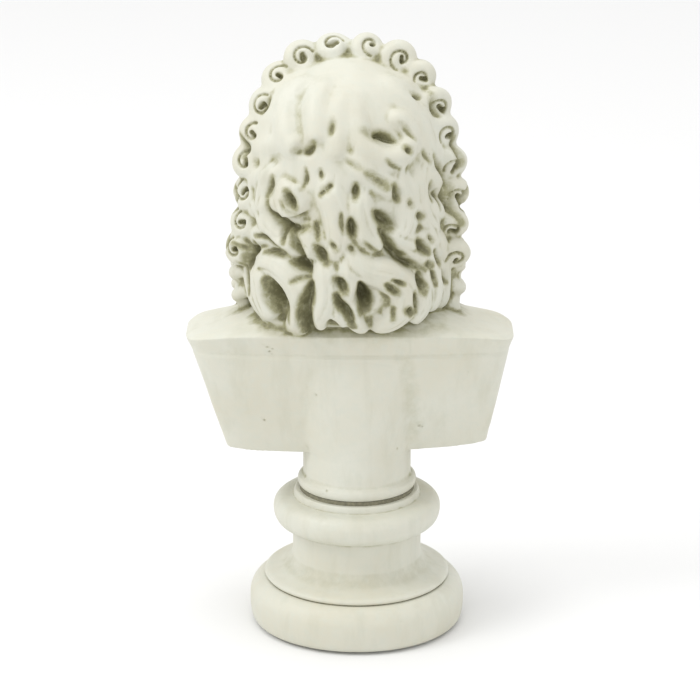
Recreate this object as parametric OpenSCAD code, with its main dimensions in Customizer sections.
// Portrait bust of cast marble on a turned socle and plinth, clamped together by one threaded rod.
// +Z is up, the face looks along -Y, and the origin is the middle of the underside.

/* [Overall] */
// Height of the top of the hair above the table
total_h = 300; // [297:1:303]
// Sideways lean of the shoulders and head from the pillar's axis
lean = 4.5; // [0:0.5:6]

/* [Felt pad] */
// Thickness of the felt
felt_t = 1.5; // [1:0.5:2]
// Radius of the felt
felt_r = 48; // [40:1:49]

/* [Plinth] */
// Height of the plinth's top face
plinth_top = 23.6; // [22:0.2:24]
// Radius of the plinth where it meets the felt
plinth_foot_r = 53.4; // [52:0.2:53.6]
// Radius of the plinth at its fullest
plinth_r = 54.3; // [53:0.1:56]
// Radius of the plinth's upper edge
plinth_edge_r = 47.8; // [46:0.2:49]

/* [Socle] */
// Height of the socle's top face
socle_top = 70.3; // [69:0.1:71]
// Radius of the socle's waist
waist_r = 32.6; // [31:0.2:34]
// Radius of the socle's upper roll at its fullest
roll_r = 42.2; // [40:0.2:44]
// Radius of the narrow fillet on top of the roll
fillet_r = 32; // [31:0.2:33]

/* [Bust] */
// Height of the bust's own foot, above the bedding
bust_foot = 72.4; // [72:0.1:73]
// Radius of the pillar
pillar_r = 27.3; // [26.5:0.1:27.5]
// Radius of the rounded ring at the pillar's foot
foot_ring_r = 30; // [29.5:0.1:31]
// Radius of each big curl along the edge of the hair
curl_r = 7.5; // [6:0.5:9]

/* [Fixings] */
// Diameter of the threaded rod
rod_d = 8; // [8:1:8]
// Radius of the clearance hole for the rod
rod_hole_r = 4.5; // [4.3:0.1:5]
// Radius of the recess under the plinth
recess_r = 15; // [14:0.5:18]
// Diameter of a locating dowel
dowel_d = 6; // [5:0.5:6]
// Distance of each dowel from the rod
dowel_x = 18; // [16:0.5:19]

/* [Hidden] */
$fn = 96;
slip = 0.05;

// heights of the hardware, from the plinth's recess up to the anchor in the pillar
plinth_base = felt_t;
recess_top = 13;
washer_t = 2;
spring_t = 2;
spring_r = 7;
nut_h = 6.5;
nut_flats = 13;
rod_base = 2;
rod_top = 106;
thread_pitch = 1.25;
thread_depth = 0.6;
thread_len = 34;
rod_r = rod_d / 2;
bed_gap = 0.5;
socle_base = plinth_top + bed_gap;
spigot_r = 20;
spigot_h = 3;
sleeve_r = 6;
sleeve_base = 74;
sleeve_top = 108;
anchor_hole_r = 7.5;
anchor_hole_top = 110;
dowel_depth = 9;
foot_bed_r = 29;

// the socle's turned outline
lip_r = plinth_edge_r - 0.8;
lip_top = 25.8;
waist_z = 37.5;
roll_base = 52;
roll_z = 61;
fillet_base = 67;
fillet_step = 0.6;

// the pillar inside the chest, and the ring at its foot
pillar_top = 138;
foot_ring_z = 75.4;
foot_ring_top = 78.2;

function dome(d, w) = exp(-d * d / (w * w));
function arc(cx, cy, rx, ry, from, to, steps) =
    [for (i = [0 : steps]) let (a = from + (to - from) * i / steps) [cx + rx * cos(a), cy + ry * sin(a)]];

// ---- the bust's outside, lofted through rings of points ----

around = 88;
// each row is one ring of the chest: half width, back, front, height at the side, back and front,
// and how square the back and the front of the ring are
CHEST = [
    [65.2, 15.0, -38, 94.0, 94.0, 94.0, 4.0, 2.6],
    [67.6, 17.5, -45, 103.0, 103.0, 101.0, 4.2, 2.5],
    [70.8, 21.5, -51, 116.0, 116.0, 113.0, 4.4, 2.4],
    [74.4, 25.5, -54, 131.0, 131.0, 127.0, 4.6, 2.4],
    [78.5, 28.2, -55, 146.0, 147.2, 141.0, 5.0, 2.4],
    [78.7, 26.6, -55, 147.0, 148.0, 142.5, 5.0, 2.4],
    [80.8, 30.0, -52, 153.0, 158.8, 149.0, 4.8, 2.3],
    [77.5, 28.5, -49, 154.8, 160.3, 152.0, 4.0, 2.3],
    [64.0, 25.0, -42, 159.5, 163.5, 156.5, 3.2, 2.2],
    [50.0, 22.0, -35, 166.0, 167.5, 160.0, 2.6, 2.1],
    [36.0, 21.0, -30, 174.5, 172.0, 164.0, 2.2, 2.0],
    [28.0, 20.0, -28, 180.0, 176.0, 171.0, 2.0, 2.0]
];
chest_mid_y = -8;
chest_base = CHEST[0][3];

// share of the lean that a point at height z has
function lean_at(z) = lean * min(1, max(0, (z - chest_base) / 75));
// the lower edge was cut slightly out of level, and the shoulders are level again
cut_slope = 0.025;
function cut_drop(x, z) = cut_slope * x * max(0, 1 - (z - chest_base) / 40);
function power(v, n) = sign(v) * pow(abs(v), 2 / n);
function chest_point(row, a) =
    let (
        back = sin(a) > 0,
        square = back ? row[6] : row[7],
        depth = back ? row[1] - chest_mid_y : chest_mid_y - row[2],
        z_end = back ? row[4] : row[5],
        z = row[3] + (z_end - row[3]) * pow(sin(a), 2),
        x = row[0] * power(cos(a), square)
    )
    [x + lean_at(z), chest_mid_y + depth * power(sin(a), square), z - cut_drop(x, z)];

// the head: each direction has its own reach, lowest point and height of greatest reach
head_x = lean;
head_y = -2;
head_steps = 42;
head_low = -72;
crown_z = total_h - 3.5;
reach_side = 52.5;
reach_back = 47;
reach_face = 37;
function by_side(a, side, back, front) =
    let (s = sin(a)) side + ((s > 0 ? back : front) - side) * pow(abs(s), 1.6);
function head_base_point(a, t) =
    let (
        reach = by_side(a, reach_side, reach_back, reach_face),
        low = by_side(a, 160, 163, 186),
        mid = by_side(a, 205, 208, 222),
        neck = by_side(a, 24, 22, 24),
        up = t > 0,
        z = up ? mid + (crown_z - mid) * sin(t) : mid + (mid - low) * sin(t),
        r = up ? reach * pow(cos(t), 0.62) : neck + (reach - neck) * pow(cos(t), 0.32)
    )
    [head_x + r * cos(a), head_y + r * sin(a), z];

// rows of curls that climb from the shoulders and meet over the forehead:
// first and last turn about the head, first and last angle above the widest line, how many, radius
curl_rows = [
    [-6, -70, -16, 68, 10, curl_r],
    [-26, -76, -30, 50, 9, curl_r - 0.5],
    [-44, -78, -34, 36, 7, curl_r - 1]
];
CURLS = [
    for (row = curl_rows) for (i = [0 : row[4] - 1]) for (side = [-1, 1])
        let (
            way = i / (row[4] - 1),
            turn = row[0] + (row[1] - row[0]) * pow(way, 4),
            t = row[2] + (row[3] - row[2]) * way
        )
        concat(head_base_point(side > 0 ? turn : 180 - turn, t), [row[5]])
];
function curl_height(p) =
    max([for (c = CURLS) sqrt(max(0, c[3] * c[3] - pow(norm(p - [c[0], c[1], c[2]]), 2)))]);
// soft waves of hair down the back
function wave_height(p, a, t) =
    sin(a) <= 0 ? 0 :
    1.6 * sin(a) * cos(t) * sin(9 * a + 60 * sin(6 * p[2])) + 0.8 * sin(a) * sin(14 * p[2]);
// nose, brow, eyes, lips and chin of a plain classical face
face_z = 188;
function face_relief(p) =
    let (x = abs(p[0] - head_x), z = p[2] - face_z)
    8 * dome(x, 6) * dome(z - 33, 6) + 5.5 * dome(x, 5) * dome(z - 44, 10)
    + 2.2 * dome(x - 13, 11) * dome(z - 54, 5) - 3.5 * dome(x - 14, 7) * dome(z - 45, 6)
    + 3.2 * dome(x, 10) * dome(z - 19, 5) + 3.4 * dome(x, 10) * dome(z - 5, 7);
function in_face(a, p) = sin(a) < -0.74 && p[2] < 256;
function head_point(a, t) =
    let (
        p = head_base_point(a, t),
        out = [cos(a) * cos(t), sin(a) * cos(t), sin(t)],
        relief = in_face(a, p) ? face_relief(p) : curl_height(p) + wave_height(p, a, t)
    )
    p + relief * out;

bust_rings = concat(
    [for (row = CHEST) [for (j = [0 : around - 1]) chest_point(row, 360 * j / around)]],
    [for (i = [0 : head_steps - 1])
        let (t = head_low + (88 - head_low) * i / (head_steps - 1))
        [for (j = [0 : around - 1]) head_point(360 * j / around, t)]]
);

// skins a stack of rings that all have the same number of points, and closes both ends
module skin(rings) {
    n = len(rings[0]);
    last = len(rings) - 1;
    low_mid = len(rings) * n;
    middle = function(ring) [for (k = [0 : 2]) [for (p = ring) p[k]] * [for (p = ring) 1 / n]];
    points = concat([for (ring = rings) each ring], [middle(rings[0]), middle(rings[last])]);
    sides = [for (i = [0 : last - 1]) for (j = [0 : n - 1])
        let (k = (j + 1) % n, a = i * n + j, b = i * n + k, c = a + n, d = b + n)
        each [[a, d, b], [a, c, d]]];
    ends = [for (j = [0 : n - 1])
        let (k = (j + 1) % n)
        each [[j, k, low_mid], [last * n + k, last * n + j, low_mid + 1]]];
    polyhedron(points = points, faces = concat(sides, ends), convexity = 10);
}

module pillar() {
    rotate_extrude() polygon(concat(
        [[0, bust_foot], [foot_ring_r - 1.2, bust_foot]],
        arc(foot_ring_r - 2.6, foot_ring_z, 2.6, foot_ring_top - foot_ring_z, -50, 75, 8),
        [[pillar_r, foot_ring_top], [pillar_r, pillar_top], [0, pillar_top]]
    ));
}

module dowel_holes(z, depth) {
    for (side = [-1, 1])
        translate([side * dowel_x, 0, z]) cylinder(r = dowel_d / 2 + slip, h = depth);
}

module bust_casting() {
    color("ivory") difference() {
        union() {
            skin(bust_rings);
            pillar();
        }
        translate([0, 0, bust_foot - 1]) cylinder(r = anchor_hole_r, h = anchor_hole_top - bust_foot + 1);
        dowel_holes(bust_foot - 1, dowel_depth + 1);
    }
}

// thin bedding that shows as the dark line round the foot of the bust
module foot_bed() {
    color("dimgray") difference() {
        translate([0, 0, socle_top]) cylinder(r = foot_bed_r, h = bust_foot - socle_top);
        translate([0, 0, socle_top - 1]) cylinder(r = anchor_hole_r, h = 5);
        dowel_holes(socle_top - 1, 5);
    }
}

module socle() {
    color("ivory") difference() {
        rotate_extrude() polygon(concat(
            [[0, socle_base - spigot_h], [spigot_r, socle_base - spigot_h], [spigot_r, socle_base]],
            [[lip_r - 0.6, socle_base], [lip_r, socle_base + 0.6]],
            arc(lip_r - 3.2, lip_top - 1.4, 3.2, 2.2, 0, 70, 5),
            arc(lip_r - 1, waist_z + 1, lip_r - 1 - waist_r, waist_z - lip_top + 0.6, 262, 180, 12),
            arc(waist_r + 1.5, roll_base - 2.5, 1.5, 2.5, 180, 110, 4),
            arc(waist_r + 1.2, roll_z, roll_r - waist_r - 1.2, roll_z - roll_base, -84, 0, 10),
            arc(waist_r + 1.2, roll_z, roll_r - waist_r - 1.2, fillet_base - roll_z, 9, 88, 8),
            [[fillet_r + 0.3, fillet_base], [fillet_r - fillet_step, socle_top - 0.6]],
            [[fillet_r - 1.2, socle_top], [0, socle_top]]
        ));
        translate([0, 0, socle_base - spigot_h - 1]) cylinder(r = rod_hole_r, h = socle_top);
        dowel_holes(socle_top - dowel_depth, dowel_depth + 1);
    }
}

// thin bedding that shows as the hairline between socle and plinth
module plinth_bed() {
    color("dimgray") difference() {
        translate([0, 0, plinth_top]) cylinder(r = lip_r - 0.8, h = bed_gap);
        translate([0, 0, plinth_top - 1]) cylinder(r = spigot_r + slip, h = 3);
    }
}

module plinth() {
    bulge_z = 13.6;
    side_bow = 2;
    shoulder = 9;
    color("ivory") difference() {
        rotate_extrude() polygon(concat(
            [[0, plinth_base], [plinth_foot_r - 1.4, plinth_base]],
            [[plinth_foot_r - 0.4, plinth_base + 0.6]],
            arc(plinth_r - side_bow, bulge_z, side_bow, bulge_z - plinth_base - 0.4, -58, 0, 7),
            arc(plinth_r - shoulder, bulge_z, shoulder, plinth_top - bulge_z, 8, 76, 8),
            [[plinth_edge_r - 1.2, plinth_top], [0, plinth_top]]
        ));
        translate([0, 0, plinth_top - spigot_h - 0.3]) cylinder(r = spigot_r + 0.3, h = spigot_h + 1);
        cylinder(r = rod_hole_r, h = plinth_top);
        cylinder(r = recess_r, h = recess_top);
    }
}

module anchor_sleeve() {
    groove = 0.7;
    groove_h = 3;
    groove_pitch = 7;
    floor_r = sleeve_r - groove;
    color("goldenrod") rotate_extrude() polygon(concat(
        [[rod_r + slip, sleeve_base], [sleeve_r, sleeve_base]],
        [for (z = [sleeve_base + 6 : groove_pitch : sleeve_top - 6]) each [
            [sleeve_r, z],
            [floor_r, z + groove],
            [floor_r, z + groove_h],
            [sleeve_r, z + groove_h + groove]
        ]],
        [[sleeve_r, sleeve_top], [rod_r + slip, sleeve_top]]
    ));
}

// resin that fills the drilled hole round the sleeve
module anchor_resin() {
    outer_h = anchor_hole_top - slip - sleeve_base;
    inner_h = sleeve_top + slip - sleeve_base;
    color("tan") difference() {
        translate([0, 0, sleeve_base]) cylinder(r = anchor_hole_r - slip, h = outer_h);
        translate([0, 0, sleeve_base - 1]) cylinder(r = sleeve_r + slip, h = inner_h + 1);
    }
}

// the two threaded ends are cut as rings with a plain length between them
module threaded_rod() {
    turns = floor(thread_len / thread_pitch);
    crest = 0.1 * thread_pitch;
    flank = (thread_pitch - crest) / 2;
    thread = function(z0) [for (i = [0 : turns - 1])
        let (z = z0 + i * thread_pitch)
        each [[rod_r - thread_depth, z], [rod_r, z + flank], [rod_r, z + flank + crest]]];
    plain_r = rod_r - 0.3;
    low_end = rod_base + turns * thread_pitch;
    high_end = rod_top - turns * thread_pitch;
    color("silver") rotate_extrude() polygon(concat(
        [[0, rod_base]],
        thread(rod_base),
        [[rod_r - thread_depth, low_end], [plain_r, low_end + 1], [plain_r, high_end - 1]],
        thread(high_end),
        [[rod_r - thread_depth, rod_top], [0, rod_top]]
    ));
}

module clamp_washer() {
    color("silver") translate([0, 0, recess_top - washer_t]) difference() {
        cylinder(r = recess_r - 2, h = washer_t);
        translate([0, 0, -1]) cylinder(r = rod_r + 0.2, h = washer_t + 2);
    }
}

module spring_washer() {
    color("gray") translate([0, 0, recess_top - washer_t - spring_t]) difference() {
        cylinder(r = spring_r, h = spring_t);
        translate([0, 0, -1]) cylinder(r = rod_r + 0.2, h = spring_t + 2);
        translate([0, -0.5, -1]) rotate([20, 0, 0]) cube([10, 1, 8]);
    }
}

module clamp_nut() {
    nut_base = recess_top - washer_t - spring_t - nut_h;
    corner_r = nut_flats / sqrt(3);
    color("silver") translate([0, 0, nut_base]) difference() {
        intersection() {
            cylinder(r = corner_r, h = nut_h, $fn = 6);
            rotate_extrude() polygon([
                [0, 0], [nut_flats / 2 - 0.2, 0], [corner_r, 0.9], [corner_r, nut_h - 0.9],
                [nut_flats / 2 - 0.2, nut_h], [0, nut_h]
            ]);
        }
        translate([0, 0, -1]) cylinder(r = rod_r + slip, h = nut_h + 2);
    }
}

module dowel(side) {
    length = 2 * dowel_depth + bust_foot - socle_top - 1;
    chamfer = 0.6;
    r = dowel_d / 2;
    color("silver") translate([side * dowel_x, 0, socle_top - dowel_depth + 0.5]) rotate_extrude() polygon([
        [0, 0], [r - chamfer, 0], [r, chamfer], [r, length - chamfer], [r - chamfer, length], [0, length]
    ]);
}

module felt_pad() {
    color("darkolivegreen") cylinder(r = felt_r, h = felt_t);
}

bust_casting();
foot_bed();
socle();
plinth_bed();
plinth();
anchor_sleeve();
anchor_resin();
threaded_rod();
clamp_washer();
spring_washer();
clamp_nut();
dowel(1);  // dowel_left
dowel(-1);  // dowel_right
felt_pad();
